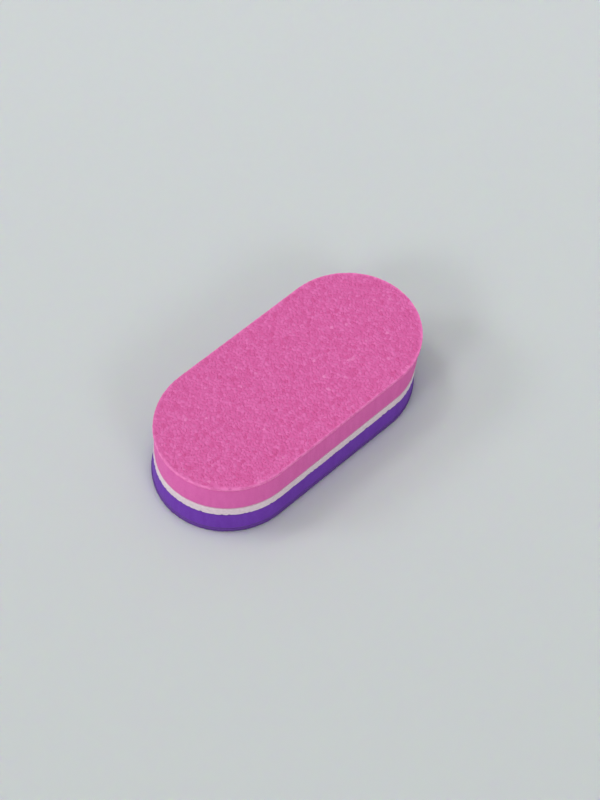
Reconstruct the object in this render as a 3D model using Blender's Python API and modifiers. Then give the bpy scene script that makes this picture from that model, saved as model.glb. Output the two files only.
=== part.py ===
"""Mini nail buffer: a thumb-sized, double-sided sanding block, cut from a glued stack by one die.

From the table up, the stack is a purple abrasive sheet with its grit down, purple foam, a white core
board, pink foam, and a pink abrasive sheet with its grit up. Thin films of glue hold it together.
Every layer is cut to a stadium. The die leaned along the block, so the outline steps toward +X as it
rises. Toward the table it also spreads a little at the sides and draws in a little at the ends.

Units are metres. +X runs along the block, +Y across it and +Z up through the layers. The origin is
on the bottom face, under the middle of the whole block.
"""

import math

import bmesh
import bpy

# The cut that the die makes, measured at the top face
BLOCK_LENGTH = 0.0350
BLOCK_WIDTH = 0.0170
DIE_LEAN = math.radians(7.3)
SIDE_FLARE = math.radians(1.6)
END_TAPER = math.radians(1.0)
ARC_STEPS = 32

# Thickness of each kind of layer
GRIT_COAT_THICKNESS = 0.00025
BACKING_SHEET_THICKNESS = 0.00020
GLUE_FILM_THICKNESS = 0.00010
LOWER_FOAM_THICKNESS = 0.00240
UPPER_FOAM_THICKNESS = 0.00305
CORE_BOARD_THICKNESS = 0.00105

# Clear space between one layer and the next
BOND_GAP = 0.00002

# Foam gives way under the die and springs back behind the stiffer layers, most at mid-height
FOAM_SET_BACK = 0.00005
FOAM_WALL_DIP = 0.00006
FOAM_WALL_STEPS = 6
FOAM_RIM_RADIUS = 0.00014
FOAM_RIM_SEGMENTS = 2

# The glue films are scraped back from the cut
GLUE_SET_BACK = 0.00007

# The board's rims are broken where the die tore it
CORE_RIM_CHAMFER = 0.00006

# Rims are sharper than this, and the facets round the outline's arcs are not
RIM_ANGLE = math.radians(40)


def clear_scene():
    """Empties the scene, so that the script can be run again."""
    for old in list(bpy.data.objects):
        bpy.data.objects.remove(old)
    for old in list(bpy.data.collections):
        bpy.data.collections.remove(old)


def material(name, colour, roughness):
    """A plain non-metal finish."""
    made = bpy.data.materials.new(name)
    made.use_nodes = True
    shader = made.node_tree.nodes["Principled BSDF"]
    shader.inputs["Base Color"].default_value = (*colour, 1.0)
    shader.inputs["Roughness"].default_value = roughness
    shader.inputs["Metallic"].default_value = 0.0
    made.diffuse_color = (*colour, 1.0)
    return made


def cut_outline(height, set_back):
    """Points round the cut at this height above the table, anticlockwise, moved inward by set_back."""
    drop = BLOCK_HEIGHT - height
    radius = BLOCK_WIDTH / 2 + math.tan(SIDE_FLARE) * drop - set_back
    reach = BLOCK_LENGTH / 2 - math.tan(END_TAPER) * drop - set_back
    arc_centre = reach - radius
    # The block reaches furthest at its top edge on one end and at its bottom edge on the other
    middle = (math.tan(DIE_LEAN) + math.tan(END_TAPER)) * BLOCK_HEIGHT / 2
    lean = math.tan(DIE_LEAN) * height - middle
    points = []
    for end in (1, -1):
        for step in range(ARC_STEPS + 1):
            turn = math.pi * (step / ARC_STEPS - 0.5)
            points.append((
                lean + end * (arc_centre + radius * math.cos(turn)),
                end * radius * math.sin(turn),
            ))
    return points


def place(layer, height):
    """Lays a layer on the stack at this height."""
    layer.location = (0, 0, height)
    layer.parent = stack_origin
    block.objects.link(layer)


def flat_layer(name, base, thickness, set_back, finish):
    """A film or sheet too thin for its cut edge to show the lean: one outline, extruded."""
    outline = bpy.data.curves.new(name, "CURVE")
    outline.dimensions = "2D"
    outline.fill_mode = "BOTH"
    outline.extrude = thickness / 2
    outline.materials.append(finish)
    spline = outline.splines.new("POLY")
    points = cut_outline(base + thickness / 2, set_back)
    spline.points.add(len(points) - 1)
    for point, (x, y) in zip(spline.points, points):
        point.co = (x, y, 0, 1)
    spline.use_cyclic_u = True
    place(bpy.data.objects.new(name, outline), base + thickness / 2)


def walled_layer(name, base, wall, finish):
    """A thick layer: the outline at each (height, set_back) of its wall, bridged and capped."""
    body = bmesh.new()
    rings = [
        [body.verts.new((x, y, height)) for x, y in cut_outline(base + height, set_back)]
        for height, set_back in wall
    ]
    loops = [
        [body.edges.new((ring[i - 1], ring[i])) for i in range(len(ring))]
        for ring in rings
    ]
    for lower, upper in zip(loops, loops[1:]):
        bmesh.ops.bridge_loops(body, edges=lower + upper)
    body.faces.new(rings[0])
    body.faces.new(rings[-1])
    bmesh.ops.recalc_face_normals(body, faces=body.faces)
    mesh = bpy.data.meshes.new(name)
    body.to_mesh(mesh)
    body.free()
    mesh.shade_smooth()
    mesh.set_sharp_from_angle(angle=RIM_ANGLE)
    mesh.materials.append(finish)
    layer = bpy.data.objects.new(name, mesh)
    place(layer, base)
    return layer


def break_rims(layer, width, segments):
    """Takes the sharp edge off the rims of both faces."""
    bevel = layer.modifiers.new("rims", "BEVEL")
    bevel.limit_method = "ANGLE"
    bevel.angle_limit = RIM_ANGLE
    bevel.width = width
    bevel.segments = segments


def foam_pad(name, base, thickness, set_back, finish):
    """Closed-cell foam: a wall drawn in between two rounded rims."""
    wall = []
    for step in range(FOAM_WALL_STEPS + 1):
        share = step / FOAM_WALL_STEPS
        wall.append((thickness * share, set_back + FOAM_WALL_DIP * math.sin(math.pi * share)))
    pad = walled_layer(name, base, wall, finish)
    break_rims(pad, FOAM_RIM_RADIUS, FOAM_RIM_SEGMENTS)


def stiff_board(name, base, thickness, set_back, finish):
    """The board between the two pads: a straight wall with broken rims."""
    wall = ((0, set_back), (thickness, set_back))
    board = walled_layer(name, base, wall, finish)
    break_rims(board, CORE_RIM_CHAMFER, segments=1)


# Finishes
pink_grit = material("pink_grit", (0.68, 0.12, 0.36), 0.80)
pink_paper = material("pink_paper", (0.78, 0.29, 0.52), 0.70)
pink_foam = material("pink_foam", (0.65, 0.13, 0.37), 0.60)
clear_glue = material("clear_glue", (0.80, 0.76, 0.72), 0.35)
white_board = material("white_board", (0.76, 0.74, 0.71), 0.75)
purple_foam = material("purple_foam", (0.13, 0.04, 0.42), 0.60)
purple_paper = material("purple_paper", (0.08, 0.02, 0.26), 0.70)
purple_grit = material("purple_grit", (0.12, 0.03, 0.38), 0.80)

# The stack from the table up: name, what makes the layer, its thickness, its set-back and its finish
LAYERS = (
    ("bottom_grit_coat", flat_layer, GRIT_COAT_THICKNESS, 0, purple_grit),
    ("bottom_backing_sheet", flat_layer, BACKING_SHEET_THICKNESS, 0, purple_paper),
    ("bottom_glue_film", flat_layer, GLUE_FILM_THICKNESS, GLUE_SET_BACK, clear_glue),
    ("lower_foam_pad", foam_pad, LOWER_FOAM_THICKNESS, FOAM_SET_BACK, purple_foam),
    ("lower_core_glue_film", flat_layer, GLUE_FILM_THICKNESS, GLUE_SET_BACK, clear_glue),
    ("core_board", stiff_board, CORE_BOARD_THICKNESS, 0, white_board),
    ("upper_core_glue_film", flat_layer, GLUE_FILM_THICKNESS, GLUE_SET_BACK, clear_glue),
    ("upper_foam_pad", foam_pad, UPPER_FOAM_THICKNESS, FOAM_SET_BACK, pink_foam),
    ("top_glue_film", flat_layer, GLUE_FILM_THICKNESS, GLUE_SET_BACK, clear_glue),
    ("top_backing_sheet", flat_layer, BACKING_SHEET_THICKNESS, 0, pink_paper),
    ("top_grit_coat", flat_layer, GRIT_COAT_THICKNESS, 0, pink_grit),
)
BLOCK_HEIGHT = sum(layer[2] for layer in LAYERS) + BOND_GAP * (len(LAYERS) - 1)

clear_scene()
block = bpy.data.collections.new("nail_buffer")
bpy.context.scene.collection.children.link(block)
stack_origin = bpy.data.objects.new("stack_origin", None)
block.objects.link(stack_origin)

face = 0
for layer_name, make_layer, layer_thickness, layer_set_back, layer_finish in LAYERS:
    make_layer(layer_name, face, layer_thickness, layer_set_back, layer_finish)
    face += layer_thickness + BOND_GAP
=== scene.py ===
"""Looks of a mini nail buffer: grit faces, foam walls, a torn core board, cut paper and squeezed glue.

Units are metres. Each piece is built round the same cut as the solids: a stadium that steps along +X
as it rises. Toward the table it also spreads a little at the sides and draws in a little at the ends.
"""

import math

import bpy
import numpy as np
from mathutils import Matrix, Vector, noise
from mathutils.geometry import delaunay_2d_cdt


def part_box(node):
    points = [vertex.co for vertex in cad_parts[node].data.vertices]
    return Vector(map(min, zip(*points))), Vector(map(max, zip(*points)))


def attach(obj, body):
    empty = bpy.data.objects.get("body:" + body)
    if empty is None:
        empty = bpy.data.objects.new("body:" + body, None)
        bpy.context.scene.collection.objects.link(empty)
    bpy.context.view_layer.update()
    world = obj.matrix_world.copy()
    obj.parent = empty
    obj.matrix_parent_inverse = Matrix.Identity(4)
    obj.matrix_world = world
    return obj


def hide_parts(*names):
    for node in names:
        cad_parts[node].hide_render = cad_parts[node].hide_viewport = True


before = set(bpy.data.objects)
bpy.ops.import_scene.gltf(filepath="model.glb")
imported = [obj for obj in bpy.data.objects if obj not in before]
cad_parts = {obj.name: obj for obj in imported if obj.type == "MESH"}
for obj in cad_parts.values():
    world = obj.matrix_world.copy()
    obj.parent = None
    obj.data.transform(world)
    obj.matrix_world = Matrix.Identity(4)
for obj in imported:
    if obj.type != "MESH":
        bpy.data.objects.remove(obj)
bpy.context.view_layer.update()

# The photograph's camera, fitted to the block's edges. Its sensor is in millimetres
PHOTO_HEIGHT_PX = 800
FOCAL_LENGTH_PX = 1900
SENSOR_LONG_SIDE_MM = 36.0
CAMERA_AZIMUTH = math.radians(-42.24)
CAMERA_ELEVATION = math.radians(56.18)
CAMERA_ROLL = math.radians(-0.86)
CAMERA_DISTANCE = 0.22001
CAMERA_AIM = (0.00274, 0.00090, 0)
# What is nearer than this share of the distance isn't seen
CAMERA_NEAR_SHARE = 0.05

# Where the light comes from, as shares of the light that shows a colour as it is written
SKY_SHARE = 0.554
LAMP_DISTANCE = 12.0
LAMP_SIZE = 3.36
# Each lamp's name, bearing, angle above the table and share
LAMPS = (
    ("high_back_lamp", math.radians(200), math.radians(62), 0.141),
    ("back_left_lamp", math.radians(225), math.radians(32), 0.110),
    ("left_lamp", math.radians(275), math.radians(32), 0.117),
    ("front_lamp", math.radians(350), math.radians(32), 0.088),
)

# The table's tone falls off a little toward the camera, a painted falloff of the light, and far out it
# turns into the backdrop's tone
FLOOR_SIZE = 2.0
FLOOR_FALL_LENGTH = 0.12
FLOOR_FADE_START = 0.12
FLOOR_FADE_END = 0.5
FLOOR_DROP = 0.00001
FLOOR_GRAIN_SIZE = 0.0009
FLOOR_GRAIN_SHARE = 0.12
FLOOR_ROUGHNESS = 0.6
# Light spreads this far inside the table top, in these shares for red, green and blue
FLOOR_SPREAD = 0.0029
FLOOR_SPREAD_SHARES = (0.90, 1.35, 0.65)

# Walls are meshed in steps of about this size, and their round rims in this many steps
WALL_STEP = 0.00008
RIM_STEPS = 4
# Sharper edges than this aren't shaded smooth
SHARP_EDGE_ANGLE = math.radians(50)

# The abrasive coats: broken grains of mixed size with flat tops, that stand out of resin. Some are missing
GRAIN_SPACING = 0.00037
GRAIN_SHAKE_SHARE = 0.42
GRAIN_MISSING_SHARE = 0.12
GRAIN_CORNERS = 5
GRAIN_TURN_SHARE = 0.35
GRAIN_NARROWEST_SHARE = 0.60
GRAIN_WIDEST_SHARE = 1.05
GRAIN_TALLEST = 0.00011
GRAIN_SHORTEST = 0.00005
GRAIN_TILT = 0.10
GRAIN_BREAK = 0.00002
GRAIN_BRIDGE_SHARE = 0.75
RESIN_RIPPLE = 0.00006

# Each grain has a tone from 0 to 1: partly its own chance, and partly the coat's slow mottle and clouds
COAT_MOTTLE_SIZE = 0.00055
COAT_MOTTLE_SHARE = 0.53
COAT_CLOUD_SIZE = 0.0022
COAT_CLOUD_SHARE = 0.12
COAT_CLOUD_SEED = 2
MIDDLE_TONE_SHARE = 0.5
RESIN_TONE_SHARE = 0.4
# Below this tone no grain takes the pale glint colour, which is a painted highlight
GRAIN_DULL_SHARE = 0.993
# Marks a point that belongs to the resin
NO_GRAIN = -1

# The tones at which a coat is deep, usual, light, still light, and takes its pale glint colour, a painted
# highlight
GRIT_STOPS_SHARES = (0.0, 0.3, 0.8, 0.985, 1.0)
# The coat has its grains' full colour from this share of the tallest one's height up, and below that it
# grows darker toward its deep colour, so that at the lowest it has the second share of it
GRAIN_FULL_COLOUR_SHARE = 0.6
LOWEST_GRAIN_COLOUR_SHARE = 0.6
# Lighter grains than this are less matt
GRAIN_SHINE_SHARE = 0.8
GRIT_ROUGHNESS = 0.75
GLINT_ROUGHNESS = 0.50
GRIT_PIT_SIZE = 0.00004
GRIT_PIT_HEIGHT = 0.000006

# The die chips the coat's rim. Near the rim the coat is paler in patches, partly the paler insides of
# broken grains and partly a painted highlight
RIM_CHIP_SIZE = 0.00030
RIM_CHIP_DEPTH = 0.00006
RIM_CRUMB = 0.00002
RIM_PALE_WIDTH = 0.00017
RIM_PATCH_SIZE = 0.00045
RIM_PATCH_SHARE = 0.65
RIM_LOWEST_SHARE = 0.6
# Heights of the rows up the coat's cut wall, below its rim
RIM_ROWS_SHARES = (0.0, 0.35, 0.7)
PURPLE_GRIT_SEED = 4
PINK_GRIT_SEED = 7

# Below the top sheet the cut lies back on one side of each end, fully so from this height up
END_DRAW_IN = 0.00019
END_DRAW_IN_RISE = 0.0022
# A higher power keeps it nearer to the middle of that side
END_DRAW_IN_POWER = 2

# Foam springs back behind the stiffer layers, and swells a little between them
FOAM_SET_BACK = 0.00007
FOAM_WALL_SWELL = 0.00005
FOAM_RIM_RADIUS = 0.00008
FOAM_CELL_SIZE = 0.00026
FOAM_CELL_DEPTH = 0.000016
# A cut cell is a pit that reaches out to this share of the cell's size
FOAM_CELL_REACH_SHARE = 0.6
FOAM_STREAK_WIDTH = 0.00045
FOAM_STREAK_DEPTH = 0.00002
# The blade drags the foam's colour upright, from deep through usual to light
FOAM_DRAG_SIZE = 0.0006
FOAM_DRAG_HEIGHT_SHARE = 0.25
FOAM_DRAG_STOPS_SHARES = (0.25, 0.5, 0.75)
# Fine dark cells, painted shade in the hollows of cut cells: how far out they are dark, and how dark at the
# middle
FOAM_PIT_SIZE = 0.00016
FOAM_PIT_REACH_SHARE = 0.45
FOAM_PIT_SHADE_SHARE = 0.6
FOAM_SKIN_SIZE = 0.00006
FOAM_SKIN_HEIGHT = 0.00001
FOAM_ROUGHNESS = 0.65
FOAM_SPECULAR = 0.2

# The board tears under the die, most along its lower rim. A higher power keeps the tears nearer to it
BOARD_RIM_RADIUS = 0.00006
BOARD_TEAR_SIZE = 0.00035
BOARD_TEAR_DEPTH = 0.00016
BOARD_TEAR_POWER = 4
BOARD_TEAR_SEED = 5
BOARD_GRAIN_SIZE = 0.00030
BOARD_GRAIN_DEPTH = 0.000010
BOARD_GRAIN_SEED = 9
BOARD_FIBRE_SIZE = 0.0003
BOARD_SKIN_SIZE = 0.00007
BOARD_SKIN_HEIGHT = 0.000008
BOARD_ROUGHNESS = 0.7

# Cut paper
PAPER_RIM_RADIUS = 0.00005
PAPER_FRAY_SIZE = 0.00025
PAPER_FRAY_DEPTH = 0.000016
PAPER_FRAY_SEED = 3
PAPER_FLECK_SIZE = 0.0002
PAPER_FLECK_SHARES = (0.45, 0.70)
PAPER_SKIN_SIZE = 0.00005
PAPER_SKIN_HEIGHT = 0.000006
PAPER_ROUGHNESS = 0.75

# Squeezed glue
GLUE_SET_BACK = 0.00009
GLUE_RIM_RADIUS = 0.00004
GLUE_BEAD_SIZE = 0.0005
GLUE_BEAD_DEPTH = 0.00004
GLUE_BEAD_SEED = 12
GLUE_CLOUD_SIZE = 0.0005
GLUE_ROUGHNESS = 0.35

# Most of a noise's values lie between these
NOISE_RANGE_SHARES = (0.35, 0.65)

# A triangulation keeps its whole hull, or only what is inside the given sides. No points are merged
WHOLE_HULL = 0
INSIDE_SIDES = 1
MERGE_DISTANCE = 0

LOWEST_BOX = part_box("bottom_grit_coat")
HIGHEST_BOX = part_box("top_grit_coat")


def middle_of(box, axis):
    return (box[0][axis] + box[1][axis]) / 2


def half_of(box, axis):
    return (box[1][axis] - box[0][axis]) / 2


def cut_at(height):
    """The cut at this height: its middle along X, its radius, and how far out its arcs are centred."""
    low, high = middle_of(LOWEST_BOX, 2), middle_of(HIGHEST_BOX, 2)
    share = (height - low) / (high - low)
    middle = middle_of(LOWEST_BOX, 0) * (1 - share) + middle_of(HIGHEST_BOX, 0) * share
    reach = half_of(LOWEST_BOX, 0) * (1 - share) + half_of(HIGHEST_BOX, 0) * share
    radius = half_of(LOWEST_BOX, 1) * (1 - share) + half_of(HIGHEST_BOX, 1) * share
    return middle, radius, reach - radius


def stations(step):
    """Places round the cut, anticlockwise and a step apart.

    Each has the point that it springs from, as a share of the way out to an arc's centre, and the way
    that it faces.
    """
    _, radius, arc_centre = cut_at(HIGHEST_BOX[1].z)
    arc_count = round(math.pi * radius / step)
    line_count = round(2 * arc_centre / step)
    shares, normals = [], []
    for end in (1, -1):
        for i in range(arc_count):
            turn = math.pi * (i / arc_count - 0.5)
            shares.append(end)
            normals.append((end * math.cos(turn), end * math.sin(turn)))
        for i in range(line_count):
            shares.append(end * (1 - 2 * i / line_count))
            normals.append((0, end))
    return np.array(shares), np.array(normals)


ANCHOR_SHARES, NORMALS = stations(WALL_STEP)


def ring(height, set_back):
    """Points round the cut at this height, moved inward by set_back.

    Each of the two is one value, or one value a station.
    """
    middle, radius, arc_centre = cut_at(height)
    reach = radius - set_back
    return np.column_stack([
        middle + arc_centre * ANCHOR_SHARES + reach * NORMALS[:, 0],
        reach * NORMALS[:, 1],
        np.broadcast_to(height, len(NORMALS)),
    ])


def depth_inside(points):
    """How far points lie inside the cut at their own height."""
    middle, radius, arc_centre = cut_at(points[:, 2])
    along = np.maximum(np.abs(points[:, 0] - middle) - arc_centre, 0)
    return radius - np.hypot(along, points[:, 1])


def smooth_noise(points, size, seed=0):
    """Smooth noise from about -1 to 1 at each point, with features of this size."""
    shift = Vector((seed, seed, seed))
    return np.array([noise.noise(Vector(point) / size + shift) for point in points])


def cell_pits(points, size):
    """Round pits like cut foam cells: 1 at the middle of a cell and 0 at its walls."""
    nearest = np.array([noise.voronoi(Vector(point) / size)[0][0] for point in points])
    return np.clip(1 - nearest / FOAM_CELL_REACH_SHARE, 0, 1)


def mesh_object(name, points, faces, finish):
    mesh = bpy.data.meshes.new(name)
    mesh.from_pydata(points.tolist(), [], faces)
    mesh.materials.append(finish)
    piece = bpy.data.objects.new(name, mesh)
    bpy.context.scene.collection.objects.link(piece)
    return piece


def wall_faces(ring_count, first=0):
    """Quads between neighbouring rings, facing out where the rings rise."""
    here = np.arange(len(NORMALS))
    after = (here + 1) % len(NORMALS)
    faces = []
    for row in range(ring_count - 1):
        low = first + row * len(NORMALS)
        high = low + len(NORMALS)
        faces += np.column_stack([here + low, after + low, after + high, here + high]).tolist()
    return faces


def closed_layer(name, rings, finish):
    """A closed body from rings of points, bottom to top, with a flat face across each end."""
    faces = wall_faces(len(rings))
    faces.append(list(reversed(range(len(NORMALS)))))
    faces.append([len(NORMALS) * (len(rings) - 1) + i for i in range(len(NORMALS))])
    piece = mesh_object(name, np.concatenate(rings), faces, finish)
    piece.data.shade_smooth()
    piece.data.set_sharp_from_angle(angle=SHARP_EDGE_ANGLE)
    return piece


def wall_rows(thickness, rim_radius):
    """Rows up a wall with round rims: how high each lies, and how far inside the wall."""
    rim = []
    for i in range(RIM_STEPS):
        turn = math.pi / 2 * i / RIM_STEPS
        rim.append((rim_radius * (1 - math.cos(turn)), rim_radius * (1 - math.sin(turn))))
    flat = thickness - 2 * rim_radius
    flat_steps = max(1, round(flat / WALL_STEP))
    middle = [(rim_radius + flat * i / flat_steps, 0) for i in range(flat_steps + 1)]
    return rim + middle + [(thickness - height, inset) for height, inset in reversed(rim)]


def place_piece(piece, node):
    """The piece stands for a solid, which it hides, and moves with the block."""
    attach(piece, "root")
    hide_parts(node)


def walled_piece(name, node, finish, rim_radius, set_back_at):
    """A layer whose wall has detail.

    set_back_at gives each point's set-back from the point and its share of the wall's height.
    """
    low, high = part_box(node)
    rings = []
    for height, inset in wall_rows(high.z - low.z, rim_radius):
        base = ring(low.z + height, 0)
        share = height / (high.z - low.z)
        rings.append(ring(low.z + height, inset + set_back_at(base, share)))
    piece = closed_layer(name, rings, finish)
    place_piece(piece, node)
    return piece


def end_draw_in(points):
    """How far each point lies back behind the plain cut.

    That is on the far side of one end and on the near side of the other, most where the cut faces
    halfway between along and across.
    """
    sides = np.clip(-2 * NORMALS[:, 0] * NORMALS[:, 1], 0, 1) ** END_DRAW_IN_POWER
    return END_DRAW_IN * sides * np.clip(points[:, 2] / END_DRAW_IN_RISE, 0, 1)


def foam_set_back(points, share):
    """Swollen at mid-height, with shallow cut cells and the blade's upright streaks."""
    streaks = smooth_noise(points * (1, 1, 0), FOAM_STREAK_WIDTH)
    return (
        FOAM_SET_BACK
        + end_draw_in(points)
        - FOAM_WALL_SWELL * math.sin(math.pi * share)
        + FOAM_CELL_DEPTH * cell_pits(points, FOAM_CELL_SIZE)
        + FOAM_STREAK_DEPTH * streaks
    )


def board_set_back(points, share):
    """A near straight wall with a soft grain, torn back in bites along its lower rim."""
    bites = np.clip(smooth_noise(points * (1, 1, 0), BOARD_TEAR_SIZE, BOARD_TEAR_SEED), 0, 1)
    torn = BOARD_TEAR_DEPTH * bites * (1 - share) ** BOARD_TEAR_POWER
    grain = BOARD_GRAIN_DEPTH * (1 + smooth_noise(points, BOARD_GRAIN_SIZE, BOARD_GRAIN_SEED))
    return end_draw_in(points) + torn + grain


def paper_set_back(points, _share):
    """A clean cut with a slight fray."""
    return PAPER_FRAY_DEPTH * (1 + smooth_noise(points, PAPER_FRAY_SIZE, PAPER_FRAY_SEED))


def glue_set_back(points, _share):
    """Glue squeezed out in low beads between drier stretches."""
    beads = smooth_noise(points * (1, 1, 0), GLUE_BEAD_SIZE, GLUE_BEAD_SEED)
    return GLUE_SET_BACK + end_draw_in(points) - GLUE_BEAD_DEPTH * beads


def sheet_edge(name, node, slot, finish):
    """The paper that carries the grit, which shows as its cut edge."""
    walled_piece(name, node, finish, PAPER_RIM_RADIUS, paper_set_back)


def glue_film(name, node, slot, finish):
    """A film of glue, squeezed out at the cut."""
    walled_piece(name, node, finish, GLUE_RIM_RADIUS, glue_set_back)


def foam_wall(name, node, slot, finish):
    """A full pad of closed-cell foam."""
    pad = walled_piece(name, node, finish, FOAM_RIM_RADIUS, foam_set_back)


def torn_board(name, node, slot, finish):
    """The stiff board between the two pads."""
    walled_piece(name, node, finish, BOARD_RIM_RADIUS, board_set_back)


def shaken_lattice(spacing, shake, rng):
    """Points scattered over the cut like packed grains: a triangular lattice, shaken."""
    reach = half_of(HIGHEST_BOX, 0) + spacing
    rise = spacing * math.sqrt(3) / 2
    rows = []
    for i, y in enumerate(np.arange(-reach, reach, rise)):
        x = np.arange(-reach, reach, spacing) + spacing / 2 * (i % 2)
        rows.append(np.column_stack([x, np.full(len(x), y)]))
    points = np.concatenate(rows)
    return points + rng.uniform(-shake, shake, points.shape)


def flat_points(points):
    return [Vector(point) for point in points.tolist()]


def grain_centres(face_height, rng):
    """Where the grains stand on the cut at this height."""
    middle, _, _ = cut_at(face_height)
    centres = shaken_lattice(GRAIN_SPACING, GRAIN_SPACING * GRAIN_SHAKE_SHARE, rng)
    centres = centres[rng.uniform(0, 1, len(centres)) > GRAIN_MISSING_SHARE]
    centres[:, 0] += middle
    inside = depth_inside(np.column_stack([centres, np.full(len(centres), face_height)]))
    return centres[inside > GRAIN_SPACING / 2]


def room_and_valleys(centres):
    """How far each grain is from its nearest neighbour, and the low places between grains.

    Those are the middles of each triangle of neighbours and of its sides, but grains that almost touch
    are bridged.
    """
    _, sides, triangles, *_ = delaunay_2d_cdt(flat_points(centres), [], [], WHOLE_HULL, MERGE_DISTANCE)
    sides = np.array(sides)
    lengths = np.linalg.norm(centres[sides[:, 0]] - centres[sides[:, 1]], axis=1)
    room = np.full(len(centres), GRAIN_SPACING)
    for end in (0, 1):
        np.minimum.at(room, sides[:, end], lengths)
    open_sides = sides[lengths > GRAIN_SPACING * GRAIN_BRIDGE_SHARE]
    valleys = [centres[open_sides].mean(axis=1), centres[np.array(triangles)].mean(axis=1)]
    return room, np.concatenate(valleys)


def mixed(chance, mottle):
    """Shares from 0 to 1: partly each grain's own chance, and partly the coat's slow mottle."""
    slow = np.clip(MIDDLE_TONE_SHARE + mottle, 0, 1)
    return chance * (1 - COAT_MOTTLE_SHARE) + COAT_MOTTLE_SHARE * slow


def coat_mottle(centres):
    """The coat's mottle and its fainter, wider clouds, from about -1 to 1 at each grain."""
    places = np.column_stack([centres, np.zeros(len(centres))])
    clouds = smooth_noise(places, COAT_CLOUD_SIZE, COAT_CLOUD_SEED)
    return smooth_noise(places, COAT_MOTTLE_SIZE) + COAT_CLOUD_SHARE * clouds


def grain_arms(room, rng):
    """Where each grain's corners lie from its middle: a broken polygon that fits its room."""
    count = len(room)
    turns = 2 * math.pi * (
        rng.uniform(0, 1, (count, 1))
        + (np.arange(GRAIN_CORNERS) + rng.uniform(-1, 1, (count, GRAIN_CORNERS)) * GRAIN_TURN_SHARE)
        / GRAIN_CORNERS
    )
    widths = rng.uniform(GRAIN_NARROWEST_SHARE, GRAIN_WIDEST_SHARE, (count, GRAIN_CORNERS))
    reach = room[:, None] / 2 * widths
    return reach[..., None] * np.stack([np.cos(turns), np.sin(turns)], axis=-1)


def corner_heights(arms, mottle, rng):
    """How high each grain's corners stand, from its own height, tilt and breaks."""
    count = len(arms)
    tilt = rng.normal(0, GRAIN_TILT, (count, 1, 2))
    tall_share = mixed(rng.uniform(0, 1, count), mottle)
    tall = GRAIN_SHORTEST + (GRAIN_TALLEST - GRAIN_SHORTEST) * tall_share
    broken = rng.uniform(-GRAIN_BREAK, GRAIN_BREAK, (count, GRAIN_CORNERS))
    return (tall[:, None] + broken + (arms * tilt).sum(axis=-1)).reshape(-1)


def grain_tones(mottle, rng):
    """The tone of each grain. The few that glint keep theirs, whatever the mottle."""
    tones = rng.uniform(0, 1, len(mottle))
    dull = tones < GRAIN_DULL_SHARE
    tones[dull] = GRAIN_DULL_SHARE * mixed(tones, mottle)[dull]
    return tones


def grit_surface(face_height, rng):
    """Grains over the cut at this height.

    Gives flat points, how tall each stands and the grain that it belongs to, and then the tone of each
    grain.
    """
    centres = grain_centres(face_height, rng)
    room, valleys = room_and_valleys(centres)
    mottle = coat_mottle(centres)
    arms = grain_arms(room, rng)
    corners = (centres[:, None] + arms).reshape(-1, 2)
    tops = corner_heights(arms, mottle, rng)
    ripple = RESIN_RIPPLE * rng.uniform(0, 1, len(valleys))
    points = np.concatenate([corners, valleys])
    heights = np.clip(np.concatenate([tops, ripple]), 0, GRAIN_TALLEST)
    owners = np.repeat(np.arange(len(centres)), GRAIN_CORNERS)
    grains = np.concatenate([owners, np.full(len(valleys), NO_GRAIN)])
    return points, heights, grains, grain_tones(mottle, rng)


def triangles_inside(rim, points):
    """Triangles over the flat points within the rim.

    Gives their corners' places, which given point each corner was, counted from the rim's first, and
    the triangles.
    """
    count = len(rim)
    sides = [(i, (i + 1) % count) for i in range(count)]
    given = flat_points(np.concatenate([rim, points]))
    found, _, triangles, origins, *_ = delaunay_2d_cdt(given, sides, [], INSIDE_SIDES, MERGE_DISTANCE)
    source = np.array([origin[0] for origin in origins])
    return np.array([tuple(point) for point in found]), source, triangles


def coat_wall(face, back, lumps, rim_corners, first, rng):
    """The coat's cut wall and the flat side on its sheet: their points and faces.

    first is how many points the mesh has already, and rim_corners are those of them on its rim.
    """
    count = len(rim_corners)
    rows = []
    for share in RIM_ROWS_SHARES:
        crumbs = RIM_CRUMB * rng.uniform(0, 1, count)
        rows.append(ring(back + (face - back) * share, RIM_CHIP_DEPTH * lumps * share + crumbs))
    faces = wall_faces(len(rows), first)
    here = np.arange(count)
    after = (here + 1) % count
    top_row = first + count * (len(rows) - 1)
    faces += np.column_stack([here + top_row, after + top_row, rim_corners[after], rim_corners]).tolist()
    faces.append(list(reversed(range(first, first + count))))
    return np.concatenate(rows), faces


def set_attribute(piece, name, domain, values):
    """Gives each point or face of the piece a value, which its finish reads by this name."""
    piece.data.attributes.new(name, "FLOAT", domain).data.foreach_set("value", values)


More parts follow.
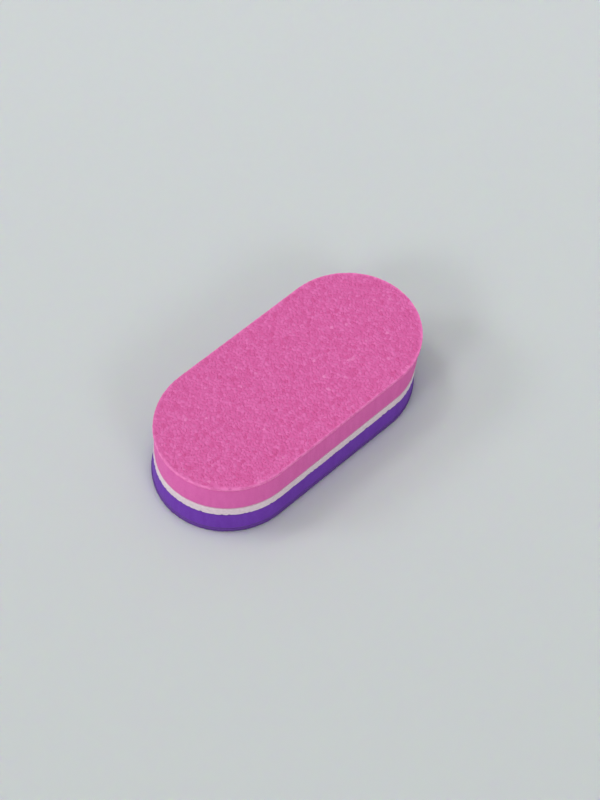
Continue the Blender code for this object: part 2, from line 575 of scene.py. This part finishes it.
def grit_coat(name, node, finish, up, seed):
    """A closed coat of grit: a faceted surface on one side, a chipped rim, and a flat side on the sheet."""
    rng = np.random.default_rng(seed)
    low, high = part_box(node)
    face, back = (high.z, low.z) if up else (low.z, high.z)
    points, heights, grains, tones = grit_surface(face, rng)
    count = len(NORMALS)
    lumps = (1 + smooth_noise(ring(face, 0), RIM_CHIP_SIZE, seed)) / 2
    rim = ring(face, RIM_CHIP_DEPTH * lumps + RIM_CRUMB * rng.uniform(0, 1, count))
    rim_heights = GRAIN_TALLEST * (1 - (1 - RIM_LOWEST_SHARE) * lumps * rng.uniform(0, 1, count))

    flat, source, triangles = triangles_inside(rim[:, :2], points)
    heights = np.concatenate([rim_heights, heights])[source]
    grains = np.concatenate([np.full(count, NO_GRAIN), grains])[source]
    share = (GRAIN_TALLEST - heights) / abs(face - back)
    surface = np.column_stack([flat, face + (back - face) * share])
    rim_corners = np.empty(count, int)
    rim_corners[source[source < count]] = np.flatnonzero(source < count)
    wall, wall_sides = coat_wall(face, back, lumps, rim_corners, len(surface), rng)

    places = np.concatenate([surface, wall])
    faces = triangles + wall_sides
    if not up:
        faces = [list(reversed(corners)) for corners in faces]
    piece = mesh_object(name, places, faces, finish)
    place_piece(piece, node)

    face_grains = grains[np.array(triangles)].max(axis=1)
    face_tones = rng.uniform(0, 1, len(faces))
    face_tones[:len(triangles)] = np.where(face_grains == NO_GRAIN, RESIN_TONE_SHARE, tones[face_grains])
    set_attribute(piece, "tone", "FACE", face_tones)
    set_attribute(piece, "tallness", "POINT", np.concatenate([heights / GRAIN_TALLEST, np.ones(len(wall))]))
    # Paleness near the rim: partly broken grain, partly a painted highlight along the rim
    patches = np.clip(RIM_PATCH_SHARE + smooth_noise(places, RIM_PATCH_SIZE, seed), 0, 1)
    paleness = patches * np.clip(1 - depth_inside(places) / RIM_PALE_WIDTH, 0, 1)
    set_attribute(piece, "paleness", "POINT", paleness)


def srgb(red, green, blue):
    """A colour in 8-bit screen values, as the linear values that shaders take."""
    shares = [value / 255 for value in (red, green, blue)]
    return (*(s / 12.92 if s < 0.04045 else ((s + 0.055) / 1.055) ** 2.4 for s in shares), 1.0)


class Finish:
    """A material, with short calls for the nodes that the finishes share."""

    def __init__(self, name, roughness):
        self.material = bpy.data.materials.new(name)
        self.material.use_nodes = True
        self.tree = self.material.node_tree
        self.shader = self.tree.nodes["Principled BSDF"]
        self.shader.inputs["Roughness"].default_value = roughness
        self.place = self.node("ShaderNodeTexCoord").outputs["Object"]

    def node(self, kind, **settings):
        made = self.tree.nodes.new(kind)
        for name, value in settings.items():
            setattr(made, name, value)
        return made

    def set(self, socket, value):
        """Links a socket to another node's output, or sets it to a plain value."""
        if isinstance(value, bpy.types.NodeSocket):
            self.tree.links.new(value, socket)
        else:
            socket.default_value = value

    def drawn_upright(self, share):
        """Places whose heights count for this share, which draws a pattern out upright."""
        made = self.node("ShaderNodeVectorMath", operation="MULTIPLY")
        self.set(made.inputs[0], self.place)
        made.inputs[1].default_value = (1.0, 1.0, share)
        return made.outputs["Vector"]

    def noise(self, size, detail=2.0, place=None):
        made = self.node("ShaderNodeTexNoise")
        self.set(made.inputs["Vector"], place or self.place)
        made.inputs["Scale"].default_value = 1 / size
        made.inputs["Detail"].default_value = detail
        return made.outputs["Fac"]

    def cells(self, size):
        """The distance from the middle of the nearest cell, as a share of a cell's size."""
        made = self.node("ShaderNodeTexVoronoi")
        self.set(made.inputs["Vector"], self.place)
        made.inputs["Scale"].default_value = 1 / size
        return made.outputs["Distance"]

    def attribute(self, name):
        return self.node("ShaderNodeAttribute", attribute_name=name).outputs["Fac"]

    def spread(self, value, low, high, start=0.0, end=1.0):
        """A value from low to high, moved to start to end."""
        made = self.node("ShaderNodeMapRange")
        self.set(made.inputs["Value"], value)
        made.inputs["From Min"].default_value = low
        made.inputs["From Max"].default_value = high
        made.inputs["To Min"].default_value = start
        made.inputs["To Max"].default_value = end
        return made.outputs["Result"]

    def mix(self, share, first, second):
        """The first colour, with this share of the second."""
        made = self.node("ShaderNodeMix", data_type="RGBA")
        self.set(made.inputs["Factor"], share)
        self.set(made.inputs["A"], first)
        self.set(made.inputs["B"], second)
        return made.outputs["Result"]

    def ramp(self, value, stops_shares, colours):
        """Colours along a value, each at its own stop."""
        made = self.node("ShaderNodeValToRGB")
        self.set(made.inputs["Fac"], value)
        stops = made.color_ramp.elements
        stops.remove(stops[1])
        stops[0].position = stops_shares[0]
        stops[0].color = colours[0]
        for share, colour in zip(stops_shares[1:], colours[1:]):
            stops.new(share).color = colour
        return made.outputs["Color"]

    def bump(self, value, height):
        made = self.node("ShaderNodeBump")
        made.inputs["Distance"].default_value = height
        self.set(made.inputs["Height"], value)
        self.set(self.shader.inputs["Normal"], made.outputs["Normal"])

    def colour(self, value):
        self.set(self.shader.inputs["Base Color"], value)


def grit_finish(name, deep, usual, light, painted_glint, broken):
    """Dyed grain, darker toward the low places: each grain has its own tone, a few take a pale glint colour
    that is a painted highlight, and the rim is paler, partly broken grain and partly a painted highlight.
    """
    finish = Finish(name, GRIT_ROUGHNESS)
    tone = finish.attribute("tone")
    # The last stop's pale glint colour is a painted highlight
    grain = finish.ramp(tone, GRIT_STOPS_SHARES, (deep, usual, light, light, painted_glint))
    # Darker toward the low places, toward the deep colour
    height_share = finish.spread(finish.attribute("tallness"), 0.0, GRAIN_FULL_COLOUR_SHARE, start=LOWEST_GRAIN_COLOUR_SHARE)
    coat = finish.mix(height_share, deep, grain)
    # The rim's pale colour is partly broken grain and partly a painted highlight
    finish.colour(finish.mix(finish.attribute("paleness"), coat, broken))
    shine = finish.spread(tone, GRAIN_SHINE_SHARE, 1.0, start=GRIT_ROUGHNESS, end=GLINT_ROUGHNESS)
    finish.set(finish.shader.inputs["Roughness"], shine)
    finish.bump(finish.noise(GRIT_PIT_SIZE), GRIT_PIT_HEIGHT)
    return finish.material


def foam_finish(name, deep, usual, light, pit_shade):
    """Closed-cell foam: soft upright streaks where the blade dragged, and darker cut cells, which are
    painted shade in their hollows.
    """
    finish = Finish(name, FOAM_ROUGHNESS)
    upright = finish.drawn_upright(FOAM_DRAG_HEIGHT_SHARE)
    dragged = finish.noise(FOAM_DRAG_SIZE, detail=4.0, place=upright)
    streaks = finish.ramp(dragged, FOAM_DRAG_STOPS_SHARES, (deep, usual, light))
    cells = finish.cells(FOAM_PIT_SIZE)
    # The darker cells are painted shade in the hollows of cut cells
    pit_shading = finish.spread(cells, 0.0, FOAM_PIT_REACH_SHARE, start=FOAM_PIT_SHADE_SHARE, end=0.0)
    finish.colour(finish.mix(pit_shading, streaks, pit_shade))
    finish.shader.inputs["Specular IOR Level"].default_value = FOAM_SPECULAR
    finish.bump(finish.noise(FOAM_SKIN_SIZE, detail=3.0), FOAM_SKIN_HEIGHT)
    return finish.material


def board_finish(name, usual, shade):
    """Off-white stiff board with a faint fibre."""
    finish = Finish(name, BOARD_ROUGHNESS)
    fibre = finish.spread(finish.noise(BOARD_FIBRE_SIZE, detail=4.0), *NOISE_RANGE_SHARES)
    finish.colour(finish.mix(fibre, shade, usual))
    finish.bump(finish.noise(BOARD_SKIN_SIZE, detail=3.0), BOARD_SKIN_HEIGHT)
    return finish.material


def paper_finish(name, usual, light):
    """The cut edge of dyed paper, flecked where the white core of the sheet shows."""
    finish = Finish(name, PAPER_ROUGHNESS)
    flecks = finish.spread(finish.noise(PAPER_FLECK_SIZE, detail=3.0), *PAPER_FLECK_SHARES)
    finish.colour(finish.mix(flecks, usual, light))
    finish.bump(finish.noise(PAPER_SKIN_SIZE), PAPER_SKIN_HEIGHT)
    return finish.material


def glue_finish(name, usual, shade):
    """A thin milky film of glue, slightly glossy."""
    finish = Finish(name, GLUE_ROUGHNESS)
    finish.colour(finish.mix(finish.noise(GLUE_CLOUD_SIZE), shade, usual))
    return finish.material


def floor_finish(name, near, far, faded):
    """A pale smooth table top with a very fine grain, whose tone changes slowly along its own Y as a
    painted falloff of the light.
    """
    finish = Finish(name, FLOOR_ROUGHNESS)
    along = finish.node("ShaderNodeSeparateXYZ")
    finish.set(along.inputs["Vector"], finish.place)
    # Painted light: the table is darker near the camera and lighter far off
    painted_light_fall = finish.spread(along.outputs["Y"], -FLOOR_FALL_LENGTH / 2, FLOOR_FALL_LENGTH / 2)
    speckle = finish.noise(FLOOR_GRAIN_SIZE, detail=5.0)
    grain = finish.spread(speckle, *NOISE_RANGE_SHARES, end=FLOOR_GRAIN_SHARE)
    table = finish.mix(grain, finish.mix(painted_light_fall, near, far), near)
    out = finish.node("ShaderNodeVectorMath", operation="LENGTH")
    finish.set(out.inputs["Vector"], finish.place)
    fade = finish.spread(out.outputs["Value"], FLOOR_FADE_START, FLOOR_FADE_END)
    finish.colour(finish.mix(fade, table, faded))
    finish.shader.inputs["Subsurface Weight"].default_value = 1.0
    finish.shader.inputs["Subsurface Radius"].default_value = FLOOR_SPREAD_SHARES
    finish.shader.inputs["Subsurface Scale"].default_value = FLOOR_SPREAD
    return finish.material


def make_lower_finishes():
    """The finishes of what lies below the board, by name."""
    return {
        "purple_grit": grit_finish(
            "purple_grit",
            deep=srgb(66, 30, 108),
            usual=srgb(84, 42, 134),
            light=srgb(100, 56, 152),
            # The pale glint colour is a painted highlight
            painted_glint=srgb(160, 130, 200),
            broken=srgb(84, 42, 124),
        ),
        "purple_paper": paper_finish("purple_paper", usual=srgb(92, 44, 142), light=srgb(102, 58, 152)),
        "purple_foam": foam_finish(
            "purple_foam",
            deep=srgb(102, 48, 161),
            usual=srgb(106, 52, 166),
            light=srgb(111, 57, 172),
            # The pit colour is painted shade in the cut cells
            pit_shade=srgb(86, 38, 140),
        ),
        "glue_on_purple": glue_finish("glue_on_purple", usual=srgb(102, 56, 150), shade=srgb(92, 48, 138)),
    }


def make_upper_finishes():
    """The finishes of the board and what lies above it, by name."""
    return {
        "white_board": board_finish("white_board", usual=srgb(220, 204, 212), shade=srgb(209, 192, 201)),
        "glue_on_board": glue_finish("glue_on_board", usual=srgb(208, 146, 180), shade=srgb(200, 126, 168)),
        "pink_foam": foam_finish(
            "pink_foam",
            deep=srgb(211, 94, 166),
            usual=srgb(215, 99, 170),
            light=srgb(219, 104, 175),
            # The pit colour is painted shade in the cut cells
            pit_shade=srgb(190, 78, 145),
        ),
        "glue_on_pink": glue_finish("glue_on_pink", usual=srgb(206, 104, 164), shade=srgb(188, 88, 146)),
        "pink_paper": paper_finish("pink_paper", usual=srgb(222, 104, 172), light=srgb(236, 136, 192)),
        "pink_grit": grit_finish(
            "pink_grit",
            deep=srgb(204, 79, 146),
            usual=srgb(211, 90, 159),
            light=srgb(221, 107, 175),
            # The pale glint colour is a painted highlight
            painted_glint=srgb(227, 121, 183),
            # The rim's pale colour: partly broken grain, partly a painted highlight
            broken=srgb(245, 131, 198),
        ),
    }


# The layers between the two coats, from the table up: what makes each, its piece, node, slot and finish
INNER_LAYERS = (
    (sheet_edge, "purple_sheet_edge", "bottom_backing_sheet", "purple_paper", "purple_paper"),
    (glue_film, "bottom_glue_film_beads", "bottom_glue_film", "clear_glue", "glue_on_purple"),
    (foam_wall, "purple_foam_wall", "lower_foam_pad", "purple_foam", "purple_foam"),
    (glue_film, "lower_core_glue_film_beads", "lower_core_glue_film", "clear_glue", "glue_on_purple"),
    (torn_board, "torn_core_board", "core_board", "white_board", "white_board"),
    (glue_film, "upper_core_glue_film_beads", "upper_core_glue_film", "clear_glue", "glue_on_board"),
    (foam_wall, "pink_foam_wall", "upper_foam_pad", "pink_foam", "pink_foam"),
    (glue_film, "top_glue_film_beads", "top_glue_film", "clear_glue", "glue_on_pink"),
    (sheet_edge, "pink_sheet_edge", "top_backing_sheet", "pink_paper", "pink_paper"),
)


def make_block():
    """Every layer of the block, from the table up."""
    finishes = make_lower_finishes() | make_upper_finishes()
    grit_coat(
        "purple_grit_face", "bottom_grit_coat", finishes["purple_grit"],
        up=False, seed=PURPLE_GRIT_SEED,
    )
    for make_layer, name, node, slot, finish in INNER_LAYERS:
        make_layer(name, node, slot, finishes[finish])
    grit_coat(
        "pink_grit_face", "top_grit_coat", finishes["pink_grit"],
        up=True, seed=PINK_GRIT_SEED,
    )


def aim(thing, target, azimuth, elevation, distance, roll=0.0):
    """Puts a camera or lamp at this bearing and distance from the target, facing it."""
    back = Vector((
        math.sin(azimuth) * math.cos(elevation),
        -math.cos(azimuth) * math.cos(elevation),
        math.sin(elevation),
    ))
    across = (-back).cross(Vector((0, 0, 1))).normalized()
    upward = across.cross(-back)
    level = Matrix((across, upward, back)).transposed().to_4x4()
    place = Matrix.Translation(Vector(target) + distance * back)
    thing.matrix_world = place @ level @ Matrix.Rotation(roll, 4, "Z")


def make_camera():
    lens = bpy.data.cameras.new("camera")
    lens.sensor_width = SENSOR_LONG_SIDE_MM
    lens.lens = FOCAL_LENGTH_PX / PHOTO_HEIGHT_PX * SENSOR_LONG_SIDE_MM
    lens.clip_start = CAMERA_DISTANCE * CAMERA_NEAR_SHARE
    camera = bpy.data.objects.new("camera", lens)
    bpy.context.scene.collection.objects.link(camera)
    aim(camera, CAMERA_AIM, CAMERA_AZIMUTH, CAMERA_ELEVATION, CAMERA_DISTANCE, CAMERA_ROLL)
    bpy.context.scene.camera = camera


def make_sky(seen):
    """An even white sky that lights the block, and past the table's edge a backdrop of this colour."""
    world = bpy.data.worlds.new("studio")
    world.use_nodes = True
    nodes, links = world.node_tree.nodes, world.node_tree.links
    sky = nodes["Background"]
    sky.inputs["Color"].default_value = (1.0, 1.0, 1.0, 1.0)
    sky.inputs["Strength"].default_value = SKY_SHARE
    backdrop = nodes.new("ShaderNodeBackground")
    backdrop.inputs["Color"].default_value = seen
    backdrop.inputs["Strength"].default_value = 1.0
    rays = nodes.new("ShaderNodeLightPath")
    shown = rays.outputs["Is Camera Ray"]
    for kind in ("Is Glossy Ray", "Is Transmission Ray"):
        either = nodes.new("ShaderNodeMath")
        either.operation = "MAXIMUM"
        links.new(shown, either.inputs[0])
        links.new(rays.outputs[kind], either.inputs[1])
        shown = either.outputs["Value"]
    choice = nodes.new("ShaderNodeMixShader")
    links.new(shown, choice.inputs["Fac"])
    links.new(sky.outputs["Background"], choice.inputs[1])
    links.new(backdrop.outputs["Background"], choice.inputs[2])
    links.new(choice.outputs["Shader"], nodes["World Output"].inputs["Surface"])
    bpy.context.scene.world = world


def make_lamp(name, azimuth, elevation, share):
    """A round soft lamp, as strong on the table as its share says."""
    light = bpy.data.lights.new(name, "AREA")
    light.shape = "DISK"
    light.size = LAMP_SIZE
    light.energy = share * (math.pi * LAMP_DISTANCE) ** 2 / math.sin(elevation)
    lamp = bpy.data.objects.new(name, light)
    bpy.context.scene.collection.objects.link(lamp)
    aim(lamp, (0, 0, 0), azimuth, elevation, LAMP_DISTANCE)


def make_floor():
    """The table top, turned so that its own Y runs away from the camera."""
    bpy.ops.mesh.primitive_plane_add(size=FLOOR_SIZE)
    floor = bpy.context.object
    floor.name = "floor"
    floor.location.z = -FLOOR_DROP
    floor.rotation_euler.z = CAMERA_AZIMUTH
    table_top = floor_finish(
        "table_top",
        # Near and far tones: a painted falloff of the light toward the camera
        near=srgb(203, 208, 208),
        far=srgb(209, 214, 215),
        faded=srgb(201, 206, 206),
    )
    floor.data.materials.append(table_top)


make_camera()
make_sky(seen=srgb(206, 211, 211))
for lamp_settings in LAMPS:
    make_lamp(*lamp_settings)
make_floor()
make_block()
bpy.context.scene.view_settings.view_transform = "Standard"
